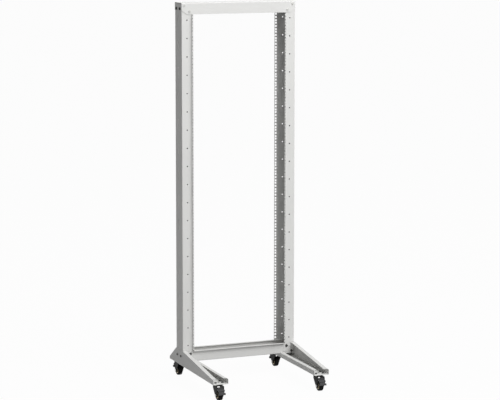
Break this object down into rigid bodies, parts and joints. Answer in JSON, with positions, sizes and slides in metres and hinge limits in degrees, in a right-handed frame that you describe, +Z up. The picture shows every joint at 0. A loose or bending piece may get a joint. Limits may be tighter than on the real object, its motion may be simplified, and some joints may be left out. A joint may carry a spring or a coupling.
{
  "type": "two post open frame rack",
  "caption": "Tall open equipment rack of two perforated posts, top and base beams and two long feet on swivel casters.",
  "frame": {"origin": "middle of the footprint at floor level", "axes": "+Z up, X across between the posts, the front with the braked casters faces -Y"},
  "size_m": [0.598, 0.649, 1.8647],
  "materials": {
    "light_paint": "light grey powder coat",
    "black_metal": "black",
    "black_plastic": "moulded black",
    "grey_plastic": "moulded dark grey",
    "steel": "zinc plated",
    "tyre": "black rubber"
  },
  "bodies": {
    "frame": {"post_left": "light_paint", "post_right": "light_paint", "top_beam": "light_paint", "base_beam": "light_paint", "foot_left": "light_paint", "foot_right": "light_paint", "caster_front_left_plate": "black_metal", "caster_front_left_kingpin": "steel", "caster_front_right_plate": "black_metal", "caster_front_right_kingpin": "steel", "caster_rear_left_plate": "black_metal", "caster_rear_left_kingpin": "steel", "caster_rear_right_plate": "black_metal", "caster_rear_right_kingpin": "steel"},
    "caster_front_left_swivel": {"caster_front_left_fork": "black_plastic", "caster_front_left_axle": "steel"},
    "caster_front_left_wheel": {"caster_front_left_wheel_core": "black_plastic", "caster_front_left_tyre": "tyre"},
    "caster_front_left_brake": {"caster_front_left_brake_pedal": "grey_plastic"},
    "caster_front_right_swivel": {"caster_front_right_fork": "black_plastic", "caster_front_right_axle": "steel"},
    "caster_front_right_wheel": {"caster_front_right_wheel_core": "black_plastic", "caster_front_right_tyre": "tyre"},
    "caster_front_right_brake": {"caster_front_right_brake_pedal": "grey_plastic"},
    "caster_rear_left_swivel": {"caster_rear_left_fork": "black_plastic", "caster_rear_left_axle": "steel"},
    "caster_rear_left_wheel": {"caster_rear_left_wheel_core": "black_plastic", "caster_rear_left_tyre": "tyre"},
    "caster_rear_left_brake": {"caster_rear_left_brake_pedal": "grey_plastic"},
    "caster_rear_right_swivel": {"caster_rear_right_fork": "black_plastic", "caster_rear_right_axle": "steel"},
    "caster_rear_right_wheel": {"caster_rear_right_wheel_core": "black_plastic", "caster_rear_right_tyre": "tyre"},
    "caster_rear_right_brake": {"caster_rear_right_brake_pedal": "grey_plastic"}
  },
  "joints": [
    {"name": "caster_front_left_turn", "type": "hinge", "parent": "frame", "child": "caster_front_left_swivel", "pos_m": [-0.2605, -0.2595, 0.0715], "axis": [0, 0, 1], "continuous": true},
    {"name": "caster_front_left_roll", "type": "hinge", "parent": "caster_front_left_swivel", "child": "caster_front_left_wheel", "pos_m": [-0.2605, -0.2815, 0.025], "axis": [1, 0, 0], "continuous": true},
    {"name": "caster_front_left_brake_press", "type": "hinge", "parent": "caster_front_left_swivel", "child": "caster_front_left_brake", "pos_m": [-0.2605, -0.29095, 0.06026], "axis": [1, 0, 0], "range_deg": [0, 9]},
    {"name": "caster_front_right_turn", "type": "hinge", "parent": "frame", "child": "caster_front_right_swivel", "pos_m": [0.2605, -0.2595, 0.0715], "axis": [0, 0, 1], "continuous": true},
    {"name": "caster_front_right_roll", "type": "hinge", "parent": "caster_front_right_swivel", "child": "caster_front_right_wheel", "pos_m": [0.2605, -0.2815, 0.025], "axis": [1, 0, 0], "continuous": true},
    {"name": "caster_front_right_brake_press", "type": "hinge", "parent": "caster_front_right_swivel", "child": "caster_front_right_brake", "pos_m": [0.2605, -0.29095, 0.06026], "axis": [1, 0, 0], "range_deg": [0, 9]},
    {"name": "caster_rear_left_turn", "type": "hinge", "parent": "frame", "child": "caster_rear_left_swivel", "pos_m": [-0.2605, 0.2595, 0.0715], "axis": [0, 0, 1], "continuous": true},
    {"name": "caster_rear_left_roll", "type": "hinge", "parent": "caster_rear_left_swivel", "child": "caster_rear_left_wheel", "pos_m": [-0.2605, 0.2815, 0.025], "axis": [1, 0, 0], "continuous": true},
    {"name": "caster_rear_left_brake_press", "type": "hinge", "parent": "caster_rear_left_swivel", "child": "caster_rear_left_brake", "pos_m": [-0.2605, 0.29095, 0.06026], "axis": [-1, 0, 0], "range_deg": [0, 9]},
    {"name": "caster_rear_right_turn", "type": "hinge", "parent": "frame", "child": "caster_rear_right_swivel", "pos_m": [0.2605, 0.2595, 0.0715], "axis": [0, 0, 1], "continuous": true},
    {"name": "caster_rear_right_roll", "type": "hinge", "parent": "caster_rear_right_swivel", "child": "caster_rear_right_wheel", "pos_m": [0.2605, 0.2815, 0.025], "axis": [1, 0, 0], "continuous": true},
    {"name": "caster_rear_right_brake_press", "type": "hinge", "parent": "caster_rear_right_swivel", "child": "caster_rear_right_brake", "pos_m": [0.2605, 0.29095, 0.06026], "axis": [-1, 0, 0], "range_deg": [0, 9]}
  ]
}
